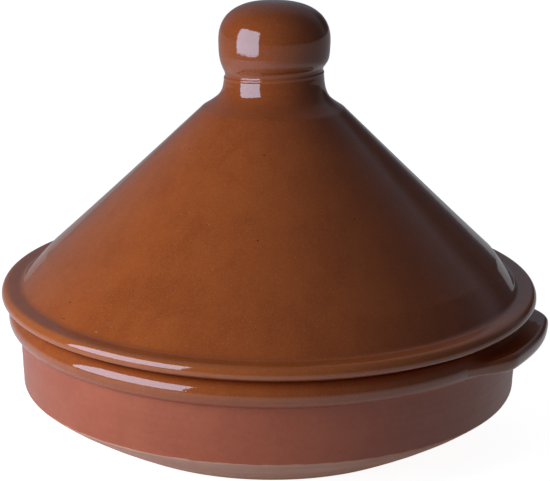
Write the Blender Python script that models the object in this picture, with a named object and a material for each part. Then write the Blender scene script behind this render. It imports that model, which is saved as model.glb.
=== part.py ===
"""A glazed earthenware tagine: a shallow cooking dish with two lugs, and a conical lid with a hollow knob.

Metres, +Z up. The origin is the middle of the dish's flat base, on the turning axis. The lugs lie along X.
Each clay piece that the potter makes is its own object: the dish, two lugs luted to its rim, the lid's cone,
and the knob luted to its neck. The lid stands loose on the dish's rim and lifts straight up.
"""

import math

import bmesh
import bpy
from mathutils import Vector

MM = 0.001

# Driving dimensions, in millimetres.
LID_RADIUS = 140.0
WALL_RADIUS = 129.7
RIM_RADIUS = 136.8
LUG_REACH = 147.4
NECK_TOP = 184.6
TOTAL_HEIGHT = 222.6
CLAY = 7.0
JOINT_GAP = 0.3

# The dish. A turn is the corner that a curved stretch of the outline bends past, as (radius, height).
BASE_RADIUS = 90.4
UNDERSIDE_TURN = (118.5, 14.9)
UNDERSIDE_TOP = 24.4
WALL_TOP = 53.2
RIM_MIDDLE = 60.3
RIM_ROLL = 6.6
RIM_TOP = RIM_MIDDLE + RIM_ROLL
CROWN_INNER = 126.8
MOUTH_RADIUS = 122.8
FLOOR_HEIGHT = 8.0
FLOOR_RADIUS = 80.0

# The lugs: their full and half widths as angles at the axis, the angles up and down from straight out at which
# they meet the rim's roll, and the levels of the dished shelf that each one makes.
LUG_HALF_ANGLE = 24.75
LUG_FULL_ANGLE = 11.4
LUG_SKIN = 0.8
LUG_ROOT_ANGLE = 55.0
LUG_TOE_ANGLE = -70.0
LUG_DISH = 60.6
LUG_EDGE_TOP = 65.5
LUG_NOSE = 61.2
LUG_EDGE_BOTTOM = 56.0
LUG_STATIONS = 20

# The lid. It rests on the rim's crown, and the flange's outer edge is a little higher than that seat.
LID_SEAT = RIM_TOP + JOINT_GAP
SEAT_OUTER = 132.0
FLANGE_BOTTOM = 70.4
FLANGE_TOP = 76.6
CONE_FOOT_RADIUS = 128.8
CONE_FOOT_TURN = (125.2, 83.4)
SHOULDER = (120.4, 88.0)
CONE_TOP = (36.6, 168.2)
NECK_RADIUS = 25.35
NECK_FLARE = 174.0
NECK_BORE = 16.5
LIP_OUTER = 120.8
LIP_INNER = 114.6
LIP_BOTTOM = 61.5

# The knob: a squared-off bulb on the neck.
KNOB_RADIUS = 28.7
KNOB_MIDDLE = 201.7
KNOB_SWELL = 190.5
KNOB_SQUARENESS = 2.5

TURN_STEPS = 64
KNOB_STEPS = 40


def clear_scene():
    for obj in list(bpy.data.objects):
        bpy.data.objects.remove(obj, do_unlink=True)


def curve(start, pull_start, pull_end, end, steps):
    """Points on a cubic curve after its start, as (radius, height)."""
    ends = [Vector(p) for p in (start, pull_start, pull_end, end)]
    points = []
    for step in range(1, steps + 1):
        t = step / steps
        weights = ((1 - t) ** 3, 3 * t * (1 - t) ** 2, 3 * t * t * (1 - t), t**3)
        points.append(sum((w * p for w, p in zip(weights, ends)), Vector((0, 0))))
    return [(p.x, p.y) for p in points]


def bend(start, corner, end, steps):
    """Points on a curve that turns once, past a corner, after its start."""
    start, corner, end = Vector(start), Vector(corner), Vector(end)
    two_thirds = 2 / 3
    return curve(start, start.lerp(corner, two_thirds), end.lerp(corner, two_thirds), end, steps)


def bulb(radius, height, middle, steps):
    """The knob's domed top, from its widest ring up to the axis, as a superellipse."""
    power = 2 / KNOB_SQUARENESS
    points = []
    for step in range(1, steps + 1):
        turn = math.radians(90) * step / steps
        across = radius * max(math.cos(turn), 0.0) ** power
        points.append((across if step < steps else 0.0, middle + height * math.sin(turn) ** power))
    return points


def new_object(name, mesh_builder, material):
    mesh = bpy.data.meshes.new(name)
    mesh_builder.to_mesh(mesh)
    mesh_builder.free()
    mesh.shade_smooth()
    mesh.set_sharp_from_angle(angle=math.radians(35))
    mesh.materials.append(material)
    obj = bpy.data.objects.new(name, mesh)
    bpy.context.scene.collection.objects.link(obj)
    return obj


def turned(name, outline, steps, material):
    """A solid of revolution about Z, from an outline that runs up the outside and comes down the inside."""
    form = bmesh.new()
    verts = [form.verts.new((radius * MM, 0.0, height * MM)) for radius, height in outline]
    edges = []
    for start, end in zip(verts, verts[1:] + verts[:1]):
        lies_on_axis = start.co.x == 0.0 and end.co.x == 0.0
        if not lies_on_axis:
            edges.append(form.edges.new((start, end)))
    bmesh.ops.spin(
        form,
        geom=verts + edges,
        cent=(0, 0, 0),
        axis=(0, 0, 1),
        angle=math.tau,
        steps=steps,
        use_merge=True,
    )
    bmesh.ops.remove_doubles(form, verts=form.verts, dist=0.01 * MM)
    bmesh.ops.recalc_face_normals(form, faces=form.faces)
    return new_object(name, form, material)


def rim_face(low_angle, high_angle, steps, stand_off=0.0):
    """The rolled rim's face between two angles up from straight out, or a line that stands off it."""
    roll = RIM_ROLL + stand_off
    points = []
    for step in range(steps + 1):
        turn = math.radians(low_angle + (high_angle - low_angle) * step / steps)
        points.append((RIM_RADIUS - RIM_ROLL + roll * math.cos(turn), RIM_MIDDLE + roll * math.sin(turn)))
    return points


def dish_outline():
    base_edge = (BASE_RADIUS, 0.0)
    underside_head = (WALL_RADIUS - 1.2, UNDERSIDE_TOP - 1.0)
    wall_foot = (WALL_RADIUS, UNDERSIDE_TOP)
    wall_head = (WALL_RADIUS + 1.3, WALL_TOP)
    floor_edge = (FLOOR_RADIUS, FLOOR_HEIGHT + 1.0)
    inner_wall = (WALL_RADIUS - CLAY, UNDERSIDE_TOP + 9.0)
    crown_edge = (CROWN_INNER, RIM_TOP)
    mouth = (MOUTH_RADIUS, RIM_TOP - 4.5)
    outline = [(0.0, 0.0), base_edge]
    outline += bend(base_edge, UNDERSIDE_TURN, underside_head, 6)
    outline += [wall_foot, wall_head]
    outline += rim_face(-80, 90, 12)
    outline += [crown_edge]
    outline += bend(crown_edge, (MOUTH_RADIUS, RIM_TOP), mouth, 4)
    outline += [inner_wall]
    outline += bend(inner_wall, (WALL_RADIUS - CLAY - 4.2, FLOOR_HEIGHT + 9.0), floor_edge, 6)
    outline += [(0.0, FLOOR_HEIGHT)]
    return outline


def cone_inside():
    """The cone's inner face, a clay's thickness in from the outer one: its foot above the lip, and its top."""
    slope = (Vector(CONE_TOP) - Vector(SHOULDER)).normalized()
    top = Vector(CONE_TOP) + Vector((-slope.y, slope.x)) * CLAY
    foot = top + slope * ((LIP_INNER - 1.6 - top.x) / slope.x)
    return (foot.x, foot.y), (top.x, top.y)


def cone_outline():
    neck_top = (NECK_RADIUS, NECK_TOP)
    flange_edge = (LID_RADIUS, FLANGE_TOP - 4.2)
    flange_shoulder = (LID_RADIUS - 6.0, FLANGE_TOP - 0.2)
    cone_foot = (CONE_FOOT_RADIUS, FLANGE_TOP + 1.6)
    bore_top = (NECK_BORE, NECK_TOP)
    inside_foot, inside_top = cone_inside()
    outline = [(SEAT_OUTER, LID_SEAT), (LID_RADIUS - 1.6, FLANGE_BOTTOM), flange_edge]
    outline += bend(flange_edge, (LID_RADIUS - 0.6, FLANGE_TOP - 0.6), flange_shoulder, 4)
    outline += bend(flange_shoulder, (CONE_FOOT_RADIUS + 0.6, FLANGE_TOP), cone_foot, 3)
    outline += bend(cone_foot, CONE_FOOT_TURN, SHOULDER, 3)
    outline += [CONE_TOP]
    outline += curve(CONE_TOP, (NECK_RADIUS + 4.6, NECK_FLARE), (NECK_RADIUS, NECK_FLARE), neck_top, 6)
    outline += [bore_top]
    outline += bend(bore_top, (NECK_BORE, NECK_FLARE), inside_top, 4)
    outline += [inside_foot]
    outline += bend(inside_foot, (LIP_INNER, inside_foot[1] - 1.6), (LIP_INNER, FLANGE_TOP - 1.0), 3)
    outline += [(LIP_INNER, LIP_BOTTOM + 1.5), (LIP_INNER + 1.5, LIP_BOTTOM)]
    outline += [(LIP_OUTER - 1.5, LIP_BOTTOM), (LIP_OUTER, LIP_BOTTOM + 1.5), (LIP_OUTER, LID_SEAT)]
    return outline


def knob_outline():
    foot = (NECK_RADIUS, NECK_TOP + JOINT_GAP)
    widest = (KNOB_RADIUS, KNOB_MIDDLE)
    hollow_widest = (KNOB_RADIUS - CLAY, KNOB_MIDDLE)
    hollow_foot = (NECK_BORE, NECK_TOP + JOINT_GAP)
    hollow_height = TOTAL_HEIGHT - KNOB_MIDDLE - CLAY
    outside = [foot] + curve(foot, (NECK_RADIUS, KNOB_SWELL - 2.0), (KNOB_RADIUS, KNOB_SWELL), widest, 6)
    outside += bulb(KNOB_RADIUS, TOTAL_HEIGHT - KNOB_MIDDLE, KNOB_MIDDLE, 9)
    hollow = [hollow_foot] + bend(hollow_foot, (hollow_widest[0], KNOB_SWELL), hollow_widest, 4)
    hollow += bulb(hollow_widest[0], hollow_height, KNOB_MIDDLE, 5)
    return outside + hollow[::-1]


def evenly(outline, count):
    """The same line through a count of points, evenly spaced along it."""
    corners = [Vector(p) for p in outline]
    lengths = [(b - a).length for a, b in zip(corners, corners[1:])]
    points = [outline[0]]
    for index in range(1, count - 1):
        left = sum(lengths) * index / (count - 1)
        leg = 0
        while left > lengths[leg]:
            left -= lengths[leg]
            leg += 1
        point = corners[leg].lerp(corners[leg + 1], left / lengths[leg])
        points.append((point.x, point.y))
    return points + [outline[-1]]


def lug_middle_outline(root, toe):
    """The lug's middle, from its root on the rim's shoulder, over the dished shelf and lip, back to its toe."""
    lip = (LUG_REACH - 1.9, LUG_EDGE_TOP)
    nose = (LUG_REACH, LUG_NOSE)
    heel = (LUG_REACH - 2.6, LUG_EDGE_BOTTOM)
    outline = [root]
    outline += bend(root, (RIM_RADIUS + 2.7, LUG_DISH), lip, 5)
    outline += bend(lip, (LUG_REACH, lip[1] + 0.2), nose, 3)
    outline += bend(nose, (LUG_REACH, heel[1] + 0.6), heel, 3)
    outline += bend(heel, (RIM_RADIUS + 0.5, LUG_EDGE_BOTTOM - 0.8), toe, 4)
    return outline


def lug_section(fullness):
    """A radial section of a lug: a thin skin on the rim at fullness 0, and the whole shelf at fullness 1."""
    against_rim = rim_face(LUG_TOE_ANGLE, LUG_ROOT_ANGLE, 9, JOINT_GAP)
    skin = rim_face(LUG_TOE_ANGLE, LUG_ROOT_ANGLE, 15, JOINT_GAP + LUG_SKIN)[::-1]
    middle = lug_middle_outline(skin[0], skin[-1])
    middle = evenly(middle, len(skin))
    outside = []
    for thin, thick in zip(skin, middle):
        point = Vector(thin).lerp(Vector(thick), fullness)
        outside.append((point.x, point.y))
    return outside + against_rim


def lug(name, middle_angle, material):
    """A lug handle: its radial sections, joined from one end of the rim's bulge to the other."""
    form = bmesh.new()
    rings = []
    for station in range(LUG_STATIONS + 1):
        share = -math.cos(math.pi * station / LUG_STATIONS)
        offset = LUG_HALF_ANGLE * share
        taper = max(abs(offset) - LUG_FULL_ANGLE, 0.0) / (LUG_HALF_ANGLE - LUG_FULL_ANGLE)
        angle = middle_angle + math.radians(offset)
        section = lug_section(1 - taper * taper * (3 - 2 * taper))
        ring = [
            form.verts.new((r * math.cos(angle) * MM, r * math.sin(angle) * MM, z * MM)) for r, z in section
        ]
        rings.append(ring)
    for ring, following in zip(rings, rings[1:]):
        for index, corner in enumerate(ring):
            form.faces.new((corner, ring[index - 1], following[index - 1], following[index]))
    form.faces.new(rings[0])
    form.faces.new(rings[-1])
    bmesh.ops.recalc_face_normals(form, faces=form.faces)
    return new_object(name, form, material)


def clay_material(name, colour, roughness):
    material = bpy.data.materials.new(name)
    material.use_nodes = True
    shader = material.node_tree.nodes["Principled BSDF"]
    shader.inputs["Base Color"].default_value = (*colour, 1.0)
    shader.inputs["Roughness"].default_value = roughness
    shader.inputs["Metallic"].default_value = 0.0
    return material


def main():
    clear_scene()
    honey_glaze = clay_material("honey_glaze", (0.27, 0.075, 0.02), 0.12)
    washed_clay = clay_material("washed_clay", (0.33, 0.10, 0.06), 0.4)
    turned("dish_body", dish_outline(), TURN_STEPS, washed_clay)
    lug("lug_handle_right", 0.0, honey_glaze)
    lug("lug_handle_left", math.pi, honey_glaze)
    turned("lid_cone", cone_outline(), TURN_STEPS, honey_glaze)
    turned("lid_knob", knob_outline(), KNOB_STEPS, honey_glaze)


main()
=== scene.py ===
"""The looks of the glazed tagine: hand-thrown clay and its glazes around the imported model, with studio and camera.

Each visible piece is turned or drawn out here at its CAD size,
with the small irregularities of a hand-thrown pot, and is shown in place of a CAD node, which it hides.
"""

import math

import bpy
import numpy as np
from mathutils import Matrix, Vector


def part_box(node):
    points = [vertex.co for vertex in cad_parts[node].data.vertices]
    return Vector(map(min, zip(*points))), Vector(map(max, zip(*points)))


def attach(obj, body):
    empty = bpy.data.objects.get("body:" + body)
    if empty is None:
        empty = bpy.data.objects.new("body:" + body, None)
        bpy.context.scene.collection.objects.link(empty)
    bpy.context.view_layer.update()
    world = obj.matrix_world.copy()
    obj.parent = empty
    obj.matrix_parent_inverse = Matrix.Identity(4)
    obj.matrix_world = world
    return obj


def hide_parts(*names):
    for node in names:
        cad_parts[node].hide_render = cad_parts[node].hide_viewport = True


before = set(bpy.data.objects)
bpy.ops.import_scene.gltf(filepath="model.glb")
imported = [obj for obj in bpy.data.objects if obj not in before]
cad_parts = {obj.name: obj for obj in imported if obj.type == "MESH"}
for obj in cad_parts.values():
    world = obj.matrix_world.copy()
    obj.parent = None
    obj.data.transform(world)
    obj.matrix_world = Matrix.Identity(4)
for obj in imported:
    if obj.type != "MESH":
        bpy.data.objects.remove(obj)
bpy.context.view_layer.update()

MM = 0.001

# Sizes read from the frame, in millimetres.
LID_LOW, LID_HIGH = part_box("lid_cone")
DISH_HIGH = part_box("dish_body")[1]
KNOB_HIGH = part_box("lid_knob")[1]
LUG_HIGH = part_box("lug_handle_right")[1]
FLANGE_RADIUS = LID_HIGH[0] / MM
LIP_BOTTOM = LID_LOW[2] / MM
RIM_TOP = DISH_HIGH[2] / MM
RIM_RADIUS = DISH_HIGH[0] / MM
LUG_REACH = LUG_HIGH[0] / MM
NECK_TOP = LID_HIGH[2] / MM
KNOB_RADIUS = KNOB_HIGH[0] / MM
KNOB_TOP = KNOB_HIGH[2] / MM

# The camera goes round the pot from straight in front of the lugs' line, and looks down a little.
CAMERA_AZIMUTH = math.radians(21.85)
CAMERA_PITCH = math.radians(16.31)
CAMERA_ROLL = math.radians(0.69)
CAMERA_DISTANCE = 0.98
CAMERA_LENS = 122.35
AIM_HEIGHT = 0.0966
AIM_RIGHT = 0.0027

CAMERA_RIGHT = Vector((math.cos(CAMERA_AZIMUTH), math.sin(CAMERA_AZIMUTH), 0.0))
TOWARDS_CAMERA = Vector((math.sin(CAMERA_AZIMUTH), -math.cos(CAMERA_AZIMUTH), 0.0))

# Points round a ring of the dish and lid, and of the knob.
ROUND = 260
KNOB_ROUND = 240
# A stretch along an outline that is glazed or washed throughout keeps this many millimetres.
WHOLLY = 12.0


# ---------------------------------------------------------------- outlines


def line(start, end, steps):
    """Points after start on a straight line to end."""
    start, end = np.array(start, float), np.array(end, float)
    return [tuple(start + (end - start) * step / steps) for step in range(1, steps + 1)]


def bend(start, corner, end, steps):
    """Points after start on a curve that turns once, past a corner, to end."""
    start, corner, end = (np.array(p, float) for p in (start, corner, end))
    points = []
    for step in range(1, steps + 1):
        t = step / steps
        points.append(tuple((1 - t) ** 2 * start + 2 * t * (1 - t) * corner + t**2 * end))
    return points


def sweep_through(points, steps):
    """Points after the first on a smooth curve through all of them."""
    knots = [np.array(p, float) for p in points]
    knots = [2 * knots[0] - knots[1]] + knots + [2 * knots[-1] - knots[-2]]
    result = []
    for p0, p1, p2, p3 in zip(knots, knots[1:], knots[2:], knots[3:]):
        for step in range(1, steps + 1):
            t = step / steps
            cubic = (2 * p0 - 5 * p1 + 4 * p2 - p3) * t**2 + (3 * p1 - p0 - 3 * p2 + p3) * t**3
            result.append(tuple(0.5 * (2 * p1 + (p2 - p0) * t + cubic)))
    return result


def bulb(radius, height, middle, squareness, steps):
    """A domed top from its widest ring up to the axis, as a superellipse."""
    points = []
    for step in range(1, steps + 1):
        turn = math.radians(90) * step / steps
        across = radius * max(math.cos(turn), 0.0) ** (2 / squareness)
        points.append((across if step < steps else 0.0, middle + height * math.sin(turn) ** (2 / squareness)))
    return points


# The dish's outline, from the middle of its base up the outside and down the inside.
BASE_RADIUS = 90.4
WALL_FOOT = (129.7, 24.4)
CREASE = (131.0, 53.3)
RIM_ROLL = 6.6
RIM_CENTRE = (RIM_RADIUS - RIM_ROLL, RIM_TOP - RIM_ROLL)
CROWN_INNER = 126.8
MOUTH_RADIUS = 122.8
INNER_WALL = (122.7, 33.4)
FLOOR_EDGE = (80.0, 9.0)
FLOOR_HEIGHT = 8.0
# Points up the rim's underside before its glaze begins, and up from the lid's seat before the lid's.
RIM_UNGLAZED = 14
SEAT_UNGLAZED = 20


def rim_face(low, high, steps, sink=0.0):
    """The rolled rim's face between two angles, in degrees up from straight out, or a line sunk under that face."""
    points = []
    for step in range(steps + 1):
        turn = math.radians(low + (high - low) * step / steps)
        roll = RIM_ROLL - sink
        points.append((RIM_CENTRE[0] + roll * math.cos(turn), RIM_CENTRE[1] + roll * math.sin(turn)))
    return points


def dish_outline():
    """Points as (radius, height), with the places along it where the wash and the glaze begin."""
    underside_head = (WALL_FOOT[0] - 0.9, WALL_FOOT[1] - 0.8)
    base_bevel = (BASE_RADIUS - 1.5, 0.0)
    outline = [(0.0, 0.0)]
    outline += line((0.0, 0.0), base_bevel, 10)
    outline += bend(base_bevel, (BASE_RADIUS, 0.0), (BASE_RADIUS + 1.2, 0.7), 4)
    outline += bend(outline[-1], (118.5, 14.9), underside_head, 40)
    foot_corner, wall_start = (WALL_FOOT[0] - 0.05, WALL_FOOT[1] - 0.1), (WALL_FOOT[0], WALL_FOOT[1] + 0.7)
    outline += bend(underside_head, foot_corner, wall_start, 5)
    wash_line = len(outline) - 2
    wall_head = (CREASE[0] - 0.1, CREASE[1] - 1.0)
    outline += line(outline[-1], wall_head, 34)
    outline += bend(wall_head, (CREASE[0] - 0.05, CREASE[1] - 0.2), CREASE, 3)
    glaze_line = len(outline) + RIM_UNGLAZED
    outline += rim_face(-79, 90, 48)
    outline += line(outline[-1], (CROWN_INNER, RIM_TOP), 3)
    outline += bend(outline[-1], (MOUTH_RADIUS, RIM_TOP), (MOUTH_RADIUS, RIM_TOP - 4.5), 8)
    outline += line(outline[-1], INNER_WALL, 34)
    outline += bend(INNER_WALL, (118.5, 17.0), FLOOR_EDGE, 36)
    outline += line(FLOOR_EDGE, (0.0, FLOOR_HEIGHT), 40)
    return outline, wash_line, glaze_line


# The lid's outline, round the lip, out under the flange, up the cone and neck, and down the inside.
LIP_OUTER = 120.8
LIP_INNER = 114.6
SEAT = RIM_TOP + 0.3
SEAT_OUTER = 132.0
FLANGE_BOTTOM = 70.4
CONE_FOOT = (128.9, 76.7)
SHOULDER = (117.5, 90.5)
CONE_TOP = (36.6, 168.1)
NECK_RADIUS = 25.4
NECK_BORE = 16.5
CLAY = 7.0


def flange_outside():
    """The flange, from its seat on the rim, round its edge and over to the foot of the cone."""
    edge = [
        (FLANGE_RADIUS - 1.7, FLANGE_BOTTOM),
        (FLANGE_RADIUS - 0.8, 70.65),
        (FLANGE_RADIUS - 0.25, 71.4),
        (FLANGE_RADIUS - 0.1, 72.3),
        (FLANGE_RADIUS - 0.2, 73.4),
        (FLANGE_RADIUS - 0.6, 74.5),
        (FLANGE_RADIUS - 1.3, 75.5),
        (FLANGE_RADIUS - 2.3, 76.15),
        (FLANGE_RADIUS - 3.8, 76.45),
        (FLANGE_RADIUS - 6.0, 76.5),
    ]
    outline = line((LIP_OUTER + 1.0, SEAT), (SEAT_OUTER, SEAT), 8)
    outline += line(outline[-1], edge[0], 8)
    outline += sweep_through(edge, 4)
    outline += line(outline[-1], (FLANGE_RADIUS - 8.6, 76.5), 3)
    cone_start = (CONE_FOOT[0] - 1.0, CONE_FOOT[1] + 1.5)
    return outline + bend(outline[-1], (CONE_FOOT[0] + 0.4, 76.45), cone_start, 6)


def lid_outline():
    """Points as (radius, height), with the places along it where the glaze begins and ends."""
    inside_foot = (LIP_INNER - 1.6, 85.2)
    inside_top = (CONE_TOP[0] - 4.8, CONE_TOP[1] - 5.1)
    neck_points = [CONE_TOP, (32.3, 170.9), (28.9, 173.7), (27.0, 176.5), (26.1, 179.4), (25.75, 182.0)]
    bead_top = (NECK_RADIUS - 0.1, NECK_TOP)
    outline = [(LIP_INNER, LIP_BOTTOM + 1.8)]
    outline += bend(outline[-1], (LIP_INNER, LIP_BOTTOM), (LIP_INNER + 1.8, LIP_BOTTOM), 5)
    outline += line(outline[-1], (LIP_OUTER - 1.8, LIP_BOTTOM), 3)
    outline += bend(outline[-1], (LIP_OUTER, LIP_BOTTOM), (LIP_OUTER, LIP_BOTTOM + 1.8), 5)
    outline += line(outline[-1], (LIP_OUTER, SEAT - 1.0), 3)
    outline += bend(outline[-1], (LIP_OUTER, SEAT), (LIP_OUTER + 1.0, SEAT), 4)
    glaze_start = len(outline) + SEAT_UNGLAZED
    outline += flange_outside()
    outline += bend(outline[-1], (123.4, 83.6), SHOULDER, 14)
    outline += bend(SHOULDER, (81.6, 124.0), CONE_TOP, 120)
    outline += sweep_through(neck_points, 7)
    outline += bend(outline[-1], (25.55, 182.9), (25.72, 183.6), 4)
    outline += bend(outline[-1], (25.8, 184.3), bead_top, 4)
    outline += line(outline[-1], (NECK_BORE, NECK_TOP), 4)
    glaze_end = len(outline) - 3
    outline += bend(outline[-1], (NECK_BORE, 174.0), inside_top, 12)
    outline += line(inside_top, inside_foot, 90)
    outline += bend(inside_foot, (LIP_INNER, inside_foot[1] - 1.6), (LIP_INNER, 75.6), 6)
    outline += line(outline[-1], outline[0], 8)[:-1]
    return outline, glaze_start, glaze_end


KNOB_MIDDLE = 201.7
KNOB_SQUARENESS = 2.5


def knob_outline():
    """Points as (radius, height): from the luted seam up the outside to the top, then the hollow back down."""
    foot = (NECK_RADIUS - 0.25, NECK_TOP - 0.25)
    collar = [
        foot,
        (25.2, 185.9),
        (25.62, 187.3),
        (26.5, 189.0),
        (27.6, 191.8),
        (28.35, 195.6),
        (KNOB_RADIUS, KNOB_MIDDLE),
    ]
    hollow_radius = KNOB_RADIUS - CLAY
    hollow_foot = (NECK_BORE, foot[1])
    outline = [foot] + sweep_through(collar, 8)
    outline += bulb(KNOB_RADIUS, KNOB_TOP - KNOB_MIDDLE, KNOB_MIDDLE, KNOB_SQUARENESS, 56)
    hollow = [hollow_foot] + bend(hollow_foot, (hollow_radius, 190.5), (hollow_radius, KNOB_MIDDLE), 12)
    hollow += bulb(hollow_radius, KNOB_TOP - KNOB_MIDDLE - CLAY, KNOB_MIDDLE, KNOB_SQUARENESS, 20)
    return outline + hollow[::-1], len(outline)


# ---------------------------------------------------------------- the potter's hand


def wobble(angle, seed, lobes=(2, 3, 5)):
    """A smooth wave round the pot, within 1 either way."""
    total = sum(math.cos(n * angle + seed * n * 1.7 + n) / n for n in lobes)
    return total / sum(1 / n for n in lobes)


def throwing_rings(along, angle):
    """The ridges that fingers leave in spinning clay: a spiral of uneven waves, within about 1 either way."""
    turn = along + 2.6 * angle / math.tau
    fine = math.sin(turn * 1.55 + 0.6 * math.sin(turn * 0.23))
    broad = math.sin(turn * 0.61 + 1.1 * math.sin(turn * 0.17 + 1.0))
    return 0.45 * fine + 0.55 * broad


def thrown(outline, rings, lean=None, seed=1.0, round_to=0.2):
    """A function that gives the place of an outline's point at an angle, in metres, as a hand would leave it.

    rings gives the throwing rings' depth at a point, and round_to how far from round the whole may be,
    both in millimetres.
    """
    points = np.array(outline)
    ahead = np.roll(points, -1, axis=0) - np.roll(points, 1, axis=0)
    length = np.maximum(np.hypot(ahead[:, 0], ahead[:, 1]), 1e-9)
    normals = np.stack([ahead[:, 1] / length, -ahead[:, 0] / length], axis=1)
    steps = np.hypot(*np.diff(points, axis=0, prepend=points[:1]).T)
    along = np.cumsum(steps)

    def place(index, angle):
        radius, height = points[index]
        depth = rings(index, height) * throwing_rings(along[index], angle)
        radius += normals[index][0] * depth
        height += normals[index][1] * depth
        radius *= 1 + round_to * (wobble(angle, seed) - 1) / RIM_RADIUS
        spot = Vector((radius * math.cos(angle), radius * math.sin(angle), height)) * MM
        return lean(spot) if lean else spot

    return place


def turned(name, outline, place, segments, values):
    """A closed mesh of revolution. Ends of the outline on the axis close to a point; values are kept per point."""
    verts, rows, kept = [], [], {key: [] for key in values}
    for index, (radius, _) in enumerate(outline):
        angles = [0.0] if radius < 1e-6 else [math.tau * k / segments for k in range(segments)]
        rows.append(list(range(len(verts), len(verts) + len(angles))))
        verts += [place(index, angle) for angle in angles]
        for key, numbers in values.items():
            kept[key] += [numbers[index]] * len(angles)
    faces = []
    for row, following in zip(rows, rows[1:] + rows[:1]):
        if len(row) == 1 and len(following) == 1:
            continue
        for k in range(segments):
            after = (k + 1) % segments
            corners = [row[k % len(row)], row[after % len(row)]] + [
                following[after % len(following)],
                following[k % len(following)],
            ]
            faces.append(tuple(dict.fromkeys(corners)))
    return new_piece(name, verts, faces, kept)


def smooth_step(low, high, value):
    """0 below low, 1 above high and smooth between."""
    share = np.clip((value - low) / (high - low), 0, 1)
    return share * share * (3 - 2 * share)


def new_piece(name, verts, faces, values):
    """A smooth mesh of these vertices and faces, with its values kept on its points."""
    mesh = bpy.data.meshes.new(name)
    mesh.from_pydata([tuple(v) for v in verts], [], faces)
    mesh.validate()
    for key, numbers in values.items():
        mesh.attributes.new(key, "FLOAT", "POINT").data.foreach_set("value", numbers)
    mesh.shade_smooth()
    piece = bpy.data.objects.new(name, mesh)
    bpy.context.scene.collection.objects.link(piece)
    return piece


def distance_past(outline, start, end=None, limit=WHOLLY):
    """Signed millimetres along an outline past a start, and before an end: positive between the two."""
    points = np.array(outline)
    along = np.cumsum(np.hypot(*np.diff(points, axis=0, prepend=points[:1]).T))
    past = along - along[start]
    if end is not None:
        past = np.minimum(past, along[end] - along)
    return np.clip(past, -limit, limit).tolist()


# The cone and knob lean a little to the camera's right, the knob tips back, and its luted seam runs up to the right.
LEAN_FOOT, LEAN_TOP = 0.0011, 0.00115
LEAN_START, LEAN_KNOB = 0.078, 0.205
KNOB_TILT = math.radians(2.8)
TILT_PIVOT = Vector((0.0, 0.0, 0.165))
SEAM_HEIGHT, SEAM_REACH = 0.184, 0.012
SEAM_RISE, SEAM_SLOPE = 0.0011, 0.068


def leaning(spot):
    """Moves a point of the lid as the cone leans and the knob tips back from the camera's side."""
    near_seam = max(1 - abs(spot.z - SEAM_HEIGHT) / SEAM_REACH, 0.0)
    near_seam = near_seam * near_seam * (3 - 2 * near_seam)
    spot = spot + Vector((0.0, 0.0, near_seam * (SEAM_RISE + SEAM_SLOPE * spot.dot(CAMERA_RIGHT))))
    rise = min(max((spot.z - LEAN_START) / 0.012, 0.0), 1.0)
    share = (spot.z - 0.09) / (LEAN_KNOB - 0.09)
    spot = spot + CAMERA_RIGHT * (rise * (LEAN_FOOT + (LEAN_TOP - LEAN_FOOT) * share))
    tipped = min(max((spot.z - 0.155) / 0.03, 0.0), 1.0)
    tipped = tipped * tipped * (3 - 2 * tipped)
    tilt = Matrix.Rotation(KNOB_TILT * tipped, 3, CAMERA_RIGHT)
    turned_spot = tilt.inverted() @ (spot - TILT_PIVOT) + TILT_PIVOT
    turned_spot.z = min(turned_spot.z, KNOB_HIGH[2])
    return turned_spot


# ---------------------------------------------------------------- the pieces


def edge_turning(outline, reach=1.6):
    """How sharply the outline turns at each point, smoothed over a reach: near 1 on edges, near -1 in hollows."""
    points = np.array(outline)
    legs = np.roll(points, -1, axis=0) - points
    heading = np.unwrap(np.arctan2(legs[:, 1], legs[:, 0]))
    lengths = np.maximum(np.hypot(legs[:, 0], legs[:, 1]), 1e-6)
    along = np.cumsum(lengths)
    turning = np.diff(heading, prepend=heading[:1])
    result = []
    for place in along:
        weights = np.exp(-(((along - place) / reach) ** 2))
        result.append(float(np.sum(turning * weights) / (reach * 1.77)))
    return np.clip(np.array(result) * 3.0, -1, 1).tolist()


# How deep the throwing rings are on each surface, in millimetres.
DISH_RINGS_OUTSIDE, DISH_RINGS_INSIDE = 0.05, 0.16
LID_RINGS_OUTSIDE, LID_RINGS_INSIDE = 0.008, 0.2
KNOB_RINGS = 0.012
# The honey glaze lies deeper on the knob, and up the neck towards it.
KNOB_DEPTH = 0.5


def make_dish():
    outline, wash_line, glaze_line = dish_outline()

    def rings(index, height):
        on_base = index < len(outline) // 2 and height < 0.5
        if outline[index][0] < 12 or height > CREASE[1] - 2 or on_base:
            return 0.0
        return DISH_RINGS_OUTSIDE if index < len(outline) // 2 else DISH_RINGS_INSIDE

    values = {
        "wash": distance_past(outline, wash_line),
        "glaze": distance_past(outline, glaze_line),
        "edge": edge_turning(outline),
    }
    piece = turned("dish_body_thrown", outline, thrown(outline, rings, seed=2.0), ROUND, values)
    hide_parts("dish_body")
    return piece


def make_lid():
    outline, glaze_start, glaze_end = lid_outline()

    def rings(index, height):
        inside = index > glaze_end
        if height < 78 or outline[index][0] < NECK_RADIUS + 4:
            return 0.0
        return LID_RINGS_INSIDE if inside else LID_RINGS_OUTSIDE

    values = {
        "wash": [WHOLLY] * len(outline),
        "glaze": distance_past(outline, glaze_start, glaze_end),
        "edge": edge_turning(outline),
        "deep": [KNOB_DEPTH * float(smooth_step(150, 178, height)) for _, height in outline],
    }
    piece = turned("lid_cone_thrown", outline, thrown(outline, rings, leaning, 1.0, 0.07), ROUND, values)
    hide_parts("lid_cone")
    return piece


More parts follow.
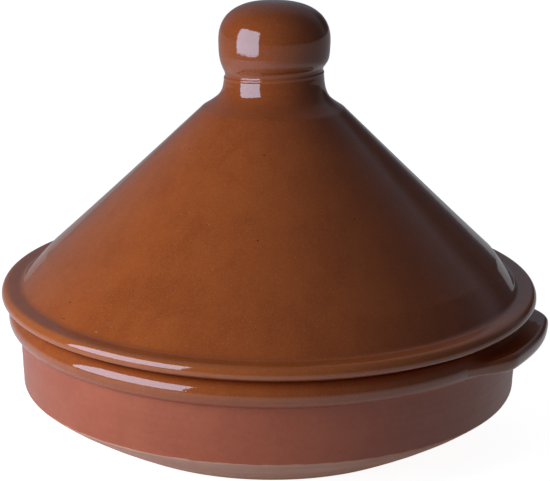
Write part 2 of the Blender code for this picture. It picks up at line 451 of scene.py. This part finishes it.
def make_knob():
    outline, outside_points = knob_outline()

    def rings(index, height):
        outside = index < outside_points
        return KNOB_RINGS if outside and height < KNOB_TOP - 6 else 0.0

    values = {
        "wash": [WHOLLY] * len(outline),
        "glaze": distance_past(outline, 0, outside_points),
        "edge": edge_turning(outline),
        "deep": [KNOB_DEPTH] * len(outline),
    }
    piece = turned("lid_knob_thrown", outline, thrown(outline, rings, leaning, 3.0, 0.4), KNOB_ROUND, values)
    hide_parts("lid_knob")
    return piece


# Degrees each way from a lug's middle to its ends, and to where it starts to fade into the rim.
LUG_SPREAD, LUG_FULL = 25.5, 11.4
LUG_STATIONS, LUG_POINTS = 150, 64
# The part of the rim's face that a lug grows from, and how deep its edges and its core lie under that face.
LUG_ROOTS = (-74, 62)
LUG_SINK, LUG_CORE = 0.25, 2.6


def evenly(outline, count):
    """The same line through a count of points, evenly spaced along it."""
    points = np.array(outline)
    along = np.cumsum(np.hypot(*np.diff(points, axis=0, prepend=points[:1]).T))
    places = np.linspace(0, along[-1], count)
    return np.stack([np.interp(places, along, points[:, axis]) for axis in (0, 1)], axis=1)


def lug_middle():
    """The lug's middle section: from the rim's shoulder down into a scoop, over the lip and back underneath."""
    knots = [
        (133.4, 66.1),
        (135.9, 64.6),
        (139.4, 64.0),
        (142.8, 64.2),
        (145.2, 64.5),
        (146.8, 63.3),
        (LUG_REACH - 0.1, 61.0),
        (146.7, 58.1),
        (144.8, 55.9),
        (139.5, 55.3),
        (135.0, 54.5),
        (132.2, 53.9),
    ]
    return [knots[0]] + sweep_through(knots, 12)


def make_lug(name, node, middle_angle, seed):
    """A lug, drawn out of the rim's face: its ends and roots sink just under that face, so that it grows from it."""
    rim = evenly(rim_face(*LUG_ROOTS, 60)[::-1], LUG_POINTS)
    under = evenly(rim_face(*LUG_ROOTS, 60, LUG_SINK)[::-1], LUG_POINTS)
    middle = evenly(lug_middle(), LUG_POINTS)
    core = rim_face(*LUG_ROOTS, 12, LUG_CORE)
    share = np.linspace(0, 1, LUG_POINTS)
    from_ends = np.minimum(share, 1 - share) / 0.10
    verts, glaze, edge = [], [], []
    for station in range(LUG_STATIONS + 1):
        offset = LUG_SPREAD * (2 * station / LUG_STATIONS - 1)
        pull = 1 - smooth_step(LUG_FULL, LUG_SPREAD - 0.75, abs(offset))
        pull *= 0.98 + 0.02 * math.sin(offset * 0.31 + seed)
        section = rim + (middle - rim) * pull
        grown = smooth_step(0, 0.16, pull * np.clip(from_ends, 0, 1))[:, None]
        section = section * grown + (section + under - rim) * (1 - grown)
        angle = middle_angle + math.radians(offset)
        for radius, height in np.concatenate([section, core]):
            radius *= 1 + 0.2 * (wobble(angle, 2.0) - 1) / RIM_RADIUS
            verts.append((radius * math.cos(angle) * MM, radius * math.sin(angle) * MM, height * MM))
        glaze += list(np.clip((1 - share) * 26 - 5.5, -WHOLLY, WHOLLY)) + [WHOLLY] * len(core)
        edge += list(np.array(edge_turning(section)) * pull) + [0.0] * len(core)
    around = LUG_POINTS + len(core)
    faces = []
    for station in range(LUG_STATIONS):
        for k in range(around):
            after = (k + 1) % around
            low, high = station * around, (station + 1) * around
            faces.append((low + k, low + after, high + after, high + k))
    faces.append(tuple(reversed(range(around))))
    faces.append(tuple(LUG_STATIONS * around + k for k in range(around)))
    piece = new_piece(name, verts, faces, {"wash": [WHOLLY] * len(verts), "glaze": glaze, "edge": edge})
    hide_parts(node)
    return piece


# ---------------------------------------------------------------- clay and glaze


class Recipe:
    """One material's node tree, put together a node at a time."""

    def __init__(self, name):
        self.material = bpy.data.materials.new(name)
        self.material.use_nodes = True
        self.tree = self.material.node_tree
        self.shader = self.tree.nodes["Principled BSDF"]
        self.place = self.node("ShaderNodeTexCoord").outputs["Object"]

    def node(self, kind, settings=None, **inputs):
        node = self.tree.nodes.new(kind)
        for key, value in (settings or {}).items():
            setattr(node, key, value)
        for key, value in inputs.items():
            self.feed(node.inputs[int(key[1:]) if key[0] == "_" else key], value)
        return node

    def feed(self, socket, value):
        if isinstance(value, bpy.types.NodeSocket):
            self.tree.links.new(value, socket)
        else:
            socket.default_value = value

    def set(self, socket, value):
        self.feed(self.shader.inputs[socket], value)

    def kept(self, name):
        """A value kept on the mesh's points."""
        return self.node("ShaderNodeAttribute", {"attribute_name": name}).outputs["Fac"]

    def math(self, operation, first, second=0.0):
        return self.node("ShaderNodeMath", {"operation": operation}, _0=first, _1=second).outputs[0]

    def noise(self, scale, detail=3.0, rough=0.5, place=None):
        inputs = {"Vector": place or self.place, "Scale": scale, "Detail": detail, "Roughness": rough}
        return self.node("ShaderNodeTexNoise", **inputs).outputs["Fac"]

    def stretched(self, across, down):
        """The place scaled down its height, so that a texture on it runs in streaks."""
        scaled = self.node("ShaderNodeMapping", Vector=self.place, Scale=(across, across, down))
        return scaled.outputs[0]

    def step(self, value, low, high):
        """0 below low, 1 above high and smooth between."""
        inputs = {"Value": value, "From Min": low, "From Max": high}
        return self.node("ShaderNodeMapRange", {"interpolation_type": "SMOOTHSTEP"}, **inputs).outputs[0]

    def mix(self, factor, first, second):
        node = self.node("ShaderNodeMix", {"data_type": "RGBA"}, _0=factor)
        for index, value in ((6, first), (7, second)):
            self.feed(node.inputs[index], value)
        return node.outputs[2]

    def spots(self, scale, size, share):
        """1 in small round spots, in a share of the cells of a grid of about scale cells a metre."""
        cells = self.node("ShaderNodeTexVoronoi", Vector=self.place, Scale=scale)
        centre = self.step(cells.outputs["Distance"], size, size * 0.5)
        picked = self.node("ShaderNodeSeparateColor", Color=cells.outputs["Color"]).outputs[0]
        return self.math("MULTIPLY", centre, self.math("LESS_THAN", picked, share))

    def bump(self, height, depth, strength=1.0, under=None):
        node = self.node("ShaderNodeBump", Height=height, Distance=depth, Strength=strength)
        if under:
            self.feed(node.inputs["Normal"], under)
        return node.outputs[0]


# Colours of the clay, its wash and its glaze, and of the specks in them.
HONEY = (0.355, 0.0740, 0.0120, 1)
HONEY_DARK = (0.305, 0.0600, 0.0095, 1)
HONEY_DEEP = (0.230, 0.0440, 0.0090, 1)
HONEY_THIN = (0.450, 0.1150, 0.0260, 1)
IRON = (0.060, 0.0200, 0.0100, 1)
PIT = (0.750, 0.5500, 0.4200, 1)
WASH = (0.365, 0.0640, 0.0165, 1)
WASH_PALE = (0.410, 0.0800, 0.0225, 1)
YELLOW = (0.600, 0.3000, 0.1000, 1)
BARE = (0.760, 0.3900, 0.2500, 1)
BARE_DARK = (0.640, 0.2900, 0.1800, 1)
GLAZE_IOR = 1.6


def glaze_colour(recipe):
    """Transparent honey glaze over red clay: mottled, streaked, sandy, dark in hollows and thin on edges."""
    mottle = recipe.noise(38.0, 5.0, 0.62)
    streaks = recipe.noise(160.0, 3.0, 0.5, recipe.stretched(1.0, 0.12))
    depth = recipe.math("ADD", recipe.math("MULTIPLY", mottle, 0.7), recipe.math("MULTIPLY", streaks, 0.3))
    colour = recipe.mix(recipe.step(depth, 0.36, 0.66), HONEY, HONEY_DARK)
    grain = recipe.noise(1100.0, 2.0, 0.6)
    colour = recipe.mix(recipe.math("MULTIPLY", recipe.step(grain, 0.50, 0.75), 0.35), colour, HONEY_THIN)
    edge = recipe.kept("edge")
    uneven = recipe.math("MULTIPLY", recipe.noise(220.0, 3.0, 0.6), 0.6)
    thin = recipe.step(recipe.math("MULTIPLY", edge, recipe.math("ADD", uneven, 0.7)), 0.25, 1.0)
    colour = recipe.mix(recipe.math("MULTIPLY", thin, 0.5), colour, HONEY_THIN)
    pooled = recipe.step(edge, -0.15, -0.9)
    colour = recipe.mix(recipe.math("MULTIPLY", pooled, 0.7), colour, HONEY_DARK)
    colour = recipe.mix(recipe.kept("deep"), colour, HONEY_DEEP)
    specks = recipe.math("MULTIPLY", recipe.step(recipe.noise(2300.0, 2.0, 0.5), 0.62, 0.74), 0.45)
    colour = recipe.mix(specks, colour, YELLOW)
    dark_grain = recipe.math("MULTIPLY", recipe.step(recipe.noise(1300.0, 3.0, 0.6), 0.42, 0.28), 0.45)
    colour = recipe.mix(dark_grain, colour, IRON)
    colour = recipe.mix(recipe.spots(190.0, 0.10, 0.05), colour, IRON)
    colour = recipe.mix(recipe.math("MULTIPLY", recipe.spots(310.0, 0.09, 0.05), 0.7), colour, YELLOW)
    return recipe.mix(recipe.spots(75.0, 0.05, 0.05), colour, PIT)


def bare_colour(recipe):
    """Fired red earthenware, pale and dusty, with turning marks."""
    patches = recipe.noise(55.0, 5.0, 0.6)
    grain = recipe.noise(900.0, 3.0, 0.7)
    marks = recipe.noise(260.0, 2.0, 0.5, recipe.stretched(0.04, 1.0))
    tone = recipe.math("ADD", recipe.math("MULTIPLY", patches, 0.5), recipe.math("MULTIPLY", marks, 0.5))
    colour = recipe.mix(recipe.step(tone, 0.35, 0.68), BARE, BARE_DARK)
    return recipe.mix(recipe.math("MULTIPLY", recipe.step(grain, 0.62, 0.8), 0.5), colour, IRON)


def wash_colour(recipe):
    """A thin satin wash that lets the clay show, paler where it is thinner."""
    patches = recipe.noise(48.0, 5.0, 0.62)
    grain = recipe.noise(420.0, 3.0, 0.6)
    tone = recipe.math("ADD", recipe.math("MULTIPLY", patches, 0.65), recipe.math("MULTIPLY", grain, 0.35))
    colour = recipe.mix(recipe.step(tone, 0.38, 0.64), WASH_PALE, WASH)
    dust = recipe.math("MULTIPLY", recipe.step(recipe.noise(1700.0, 3.0, 0.6), 0.58, 0.78), 0.3)
    colour = recipe.mix(dust, colour, YELLOW)
    colour = recipe.mix(recipe.spots(420.0, 0.14, 0.10), colour, IRON)
    return recipe.mix(recipe.spots(130.0, 0.07, 0.08), colour, IRON)


def clay_surface(recipe):
    """Sets the shader: bare clay, satin wash and glaze, each where the values kept on the mesh say it is."""
    ragged = recipe.math("MULTIPLY", recipe.math("SUBTRACT", recipe.noise(170.0, 4.0, 0.6), 0.5), 6.0)
    glazed = recipe.step(recipe.math("ADD", recipe.kept("glaze"), ragged), -0.9, 1.1)
    faint = recipe.math("MULTIPLY", recipe.math("SUBTRACT", recipe.noise(120.0, 3.0, 0.5), 0.5), 1.2)
    washed = recipe.step(recipe.math("ADD", recipe.kept("wash"), faint), -0.35, 0.35)
    colour = recipe.mix(washed, bare_colour(recipe), wash_colour(recipe))
    colour = recipe.mix(glazed, colour, glaze_colour(recipe))
    recipe.set("Base Color", colour)
    bare_rough = recipe.math("ADD", recipe.math("MULTIPLY", washed, -0.40), 0.72)
    smear = recipe.math("MULTIPLY", recipe.noise(30.0, 4.0, 0.6), 0.10)
    left_rough = recipe.math("MULTIPLY", recipe.math("SUBTRACT", 1.0, glazed), bare_rough)
    recipe.set("Roughness", recipe.math("ADD", left_rough, recipe.math("ADD", smear, 0.015)))
    recipe.set("IOR", GLAZE_IOR)
    ripple = recipe.bump(recipe.noise(60.0, 2.0, 0.45), 0.00009)
    peel = recipe.bump(recipe.noise(520.0, 2.0, 0.5), 0.000018, 1.0, ripple)
    pits = recipe.bump(recipe.spots(150.0, 0.09, 0.2), -0.0001, 1.0, peel)
    sand = recipe.noise(1300.0, 3.0, 0.7)
    grit = recipe.math("MULTIPLY", sand, recipe.math("SUBTRACT", 1.0, glazed))
    recipe.set("Normal", recipe.bump(grit, 0.00012, 0.6, pits))
    return recipe.material


# ---------------------------------------------------------------- studio and camera


# The floor's own light: to the camera, to glossy rays near the pot and how much less further out, and to all rays.
FLOOR_WHITE, FLOOR_NEAR, FLOOR_FALL, FLOOR_LEAST = 0.88, 0.36, 0.18, 0.05


def make_floor():
    """A plain pale floor. It shows white to the camera, and to glossy rays it is brighter near the pot."""
    floor = new_piece("floor", [(-6, -6, 0), (6, -6, 0), (6, 6, 0), (-6, 6, 0)], [(0, 1, 2, 3)], {})
    floor.location.z = -0.0002
    recipe = Recipe("floor_white")
    recipe.set("Base Color", (0.50, 0.50, 0.50, 1))
    recipe.set("Roughness", 0.9)
    recipe.set("Specular IOR Level", 0.0)
    recipe.set("Emission Color", (1.0, 1.0, 1.0, 1))
    path = recipe.node("ShaderNodeLightPath")
    away = recipe.node("ShaderNodeVectorMath", {"operation": "LENGTH"}, _0=recipe.place).outputs["Value"]
    own = recipe.math("ADD", recipe.math("MULTIPLY", recipe.step(away, 0.28, 0.45), -FLOOR_FALL), FLOOR_NEAR)
    own = recipe.math("ADD", recipe.math("MULTIPLY", path.outputs["Is Glossy Ray"], own), FLOOR_LEAST)
    white = recipe.math("MULTIPLY", path.outputs["Is Camera Ray"], FLOOR_WHITE)
    recipe.set("Emission Strength", recipe.math("ADD", white, own))
    floor.data.materials.append(recipe.material)


def around(degrees_right, degrees_up):
    """A direction from the pot: degrees to the right of the camera, and up."""
    turn = Matrix.Rotation(math.radians(degrees_right), 3, "Z")
    flat = turn @ TOWARDS_CAMERA
    up = math.radians(degrees_up)
    return Vector((flat.x * math.cos(up), flat.y * math.cos(up), math.sin(up)))


KEY_TINT = (0.66, 0.78, 1.0)


def make_softbox(name, degrees_right, distance, width, height, bottom, radiance, tint):
    """An upright rectangular softbox that faces the pot."""
    data = bpy.data.lights.new(name, "AREA")
    data.shape = "RECTANGLE"
    data.size = width
    data.size_y = height
    data.energy = radiance * math.pi * width * height
    data.color = tint
    light = bpy.data.objects.new(name, data)
    flat = around(degrees_right, 0.0)
    light.location = flat * distance + Vector((0, 0, bottom + height / 2))
    light.rotation_euler = flat.to_track_quat("Z", "Y").to_euler()
    bpy.context.scene.collection.objects.link(light)


ROOM_GLOW = 0.11
ROOM_TINT = (0.72, 0.82, 1.0)
BEHIND_GLOW = 0.13
BACK_FILL = 3.0
DIFFUSE_LOSS = 0.45


def make_world():
    """A dim bluish studio, a little brighter behind the pot, dark in one corner, and plain white to the camera.

    Diffuse rays get less of the room, and more of a fill from behind, than glossy rays see.
    """
    world = bpy.data.worlds.new("studio")
    bpy.context.scene.world = world
    world.use_nodes = True
    tree = world.node_tree
    background = tree.nodes["Background"]

    def node(kind, settings=None, **inputs):
        made = tree.nodes.new(kind)
        for key, value in (settings or {}).items():
            setattr(made, key, value)
        for key, value in inputs.items():
            socket = made.inputs[int(key[1:]) if key[0] == "_" else key]
            if isinstance(value, bpy.types.NodeSocket):
                tree.links.new(value, socket)
            else:
                socket.default_value = value
        return made

    def math_node(operation, first, second):
        return node("ShaderNodeMath", {"operation": operation}, _0=first, _1=second).outputs[0]

    direction = node("ShaderNodeTexCoord").outputs["Generated"]

    def glow(towards, start, full, strength):
        """Light from a direction, growing from none at a start angle off it to its full strength."""
        facing = node("ShaderNodeVectorMath", {"operation": "DOT_PRODUCT"}, _0=direction, _1=towards)
        span = node("ShaderNodeMapRange", {"interpolation_type": "SMOOTHSTEP"}, Value=facing.outputs["Value"])
        limits = (math.cos(math.radians(start)), math.cos(math.radians(full)), 0.0, strength)
        for index, number in enumerate(limits, 1):
            span.inputs[index].default_value = number
        return span.outputs[0]

    back_fill = glow(around(180, 10), 70, 30, BACK_FILL)
    behind = glow(around(180, 12), 70, 35, BEHIND_GLOW)
    shade = glow(around(147, 8), 22, 4, 0.75)
    path = node("ShaderNodeLightPath")
    lit = math_node("SUBTRACT", 1.0, shade)
    total = math_node("MULTIPLY", math_node("ADD", behind, ROOM_GLOW), lit)
    fill = math_node("MULTIPLY", math_node("SUBTRACT", back_fill, DIFFUSE_LOSS), path.outputs["Is Diffuse Ray"])
    total = math_node("MULTIPLY", total, math_node("ADD", fill, 1.0))
    room = node("ShaderNodeMix", {"data_type": "RGBA"}, _0=path.outputs["Is Camera Ray"])
    tinted = node("ShaderNodeVectorMath", {"operation": "SCALE"}, _0=ROOM_TINT)
    tree.links.new(total, tinted.inputs["Scale"])
    tree.links.new(tinted.outputs[0], room.inputs[6])
    room.inputs[7].default_value = (1, 1, 1, 1)
    tree.links.new(room.outputs[2], background.inputs["Color"])


def make_camera():
    data = bpy.data.cameras.new("camera")
    data.sensor_width = 36.0
    data.lens = CAMERA_LENS
    camera = bpy.data.objects.new("camera", data)
    bpy.context.scene.collection.objects.link(camera)
    back = TOWARDS_CAMERA * math.cos(CAMERA_PITCH) + Vector((0, 0, math.sin(CAMERA_PITCH)))
    aim = CAMERA_RIGHT * AIM_RIGHT + Vector((0, 0, AIM_HEIGHT))
    turn = back.to_track_quat("Z", "Y").to_matrix().to_4x4() @ Matrix.Rotation(CAMERA_ROLL, 4, "Z")
    camera.matrix_world = Matrix.Translation(aim + back * CAMERA_DISTANCE) @ turn
    bpy.context.scene.camera = camera


def main():
    dish = make_dish()
    lid = make_lid()
    knob = make_knob()
    right_lug = make_lug("lug_right_drawn", "lug_handle_right", 0.0, 0.5)
    left_lug = make_lug("lug_left_drawn", "lug_handle_left", math.pi, 2.1)
    clay = clay_surface(Recipe("glazed_earthenware"))
    slots = {
        dish: "dish_clay",
        lid: "lid_glaze",
        knob: "knob_glaze",
        right_lug: "lug_glaze",
        left_lug: "lug_glaze",
    }
    for piece, slot in slots.items():
        piece.data.materials.append(clay)
        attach(piece, "lid" if piece in (lid, knob) else "dish")
    make_floor()
    make_softbox("key_softbox", -56, distance=0.62, width=0.57, height=0.51, bottom=0.07, radiance=7.0, tint=KEY_TINT)
    make_world()
    make_camera()
    bpy.context.scene.view_settings.view_transform = "Standard"


main()
